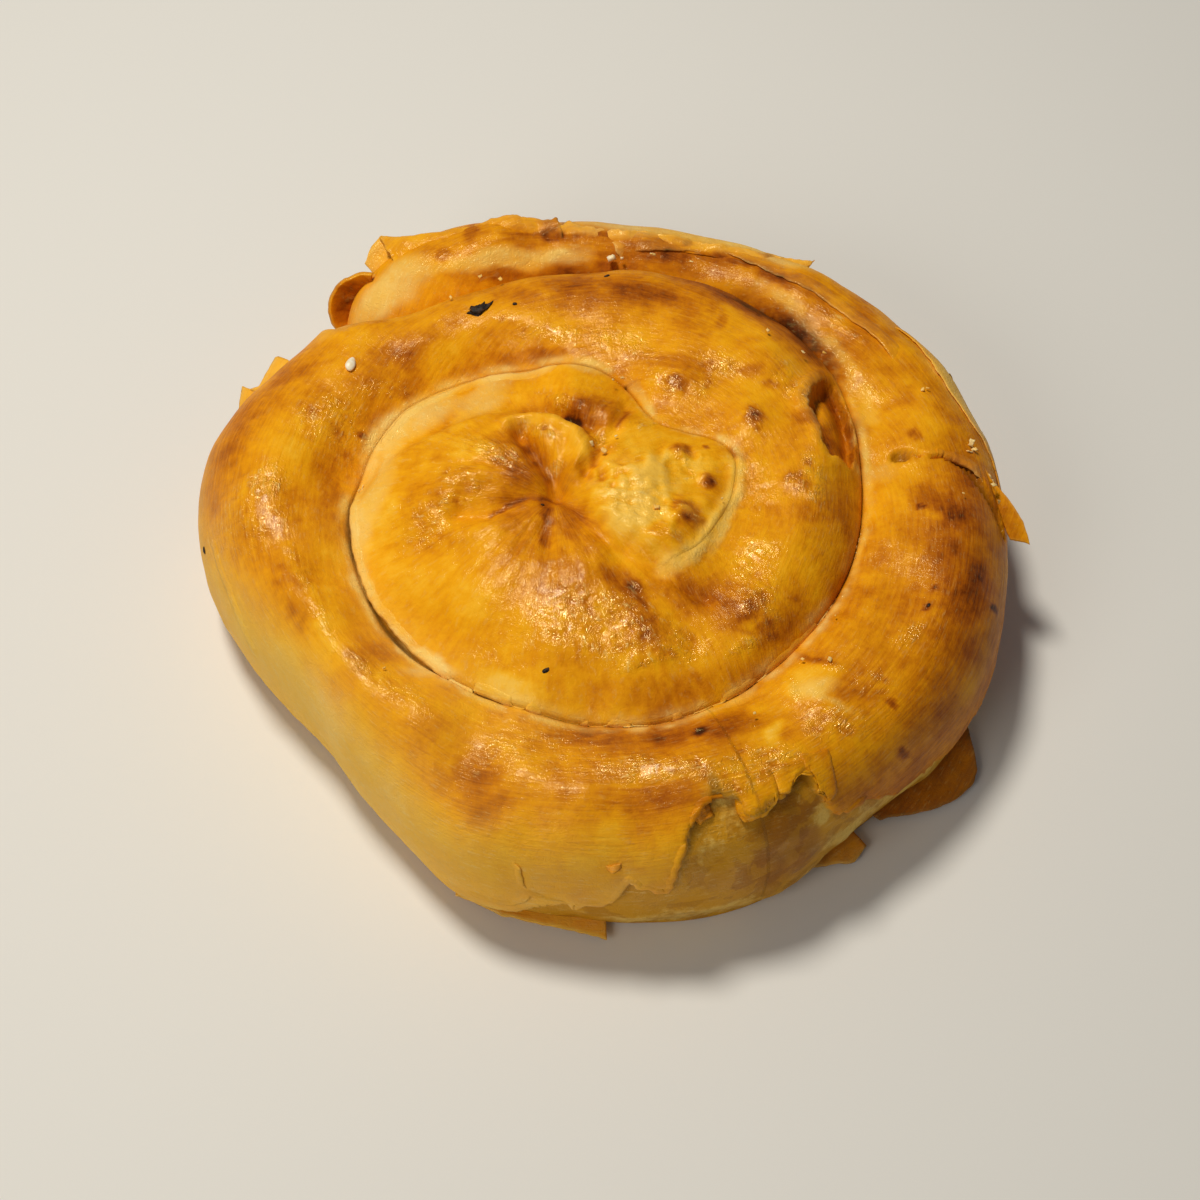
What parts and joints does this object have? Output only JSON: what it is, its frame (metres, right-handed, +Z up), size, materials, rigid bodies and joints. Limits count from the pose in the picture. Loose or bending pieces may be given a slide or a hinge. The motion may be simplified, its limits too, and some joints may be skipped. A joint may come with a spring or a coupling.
{
  "type": "spiral cheese pie",
  "caption": "Round golden-brown pie coiled from one roll of filled flaky pastry, with a pinched middle, a spiral seam and loose sheet ends.",
  "frame": {"origin": "under the middle of the pie's bounding box, on the surface it stands on", "axes": "+Z up through the crust; +Y away from the picture's viewer; the roll's tail ends at the back left"},
  "size_m": [0.1716, 0.1666, 0.0459],
  "materials": {
    "crust": "baked pastry, golden to dark brown on top with an oily gloss, pale and satin at the side"
  },
  "bodies": {
    "root": {"spiral_pie": "crust"}
  },
  "joints": []
}
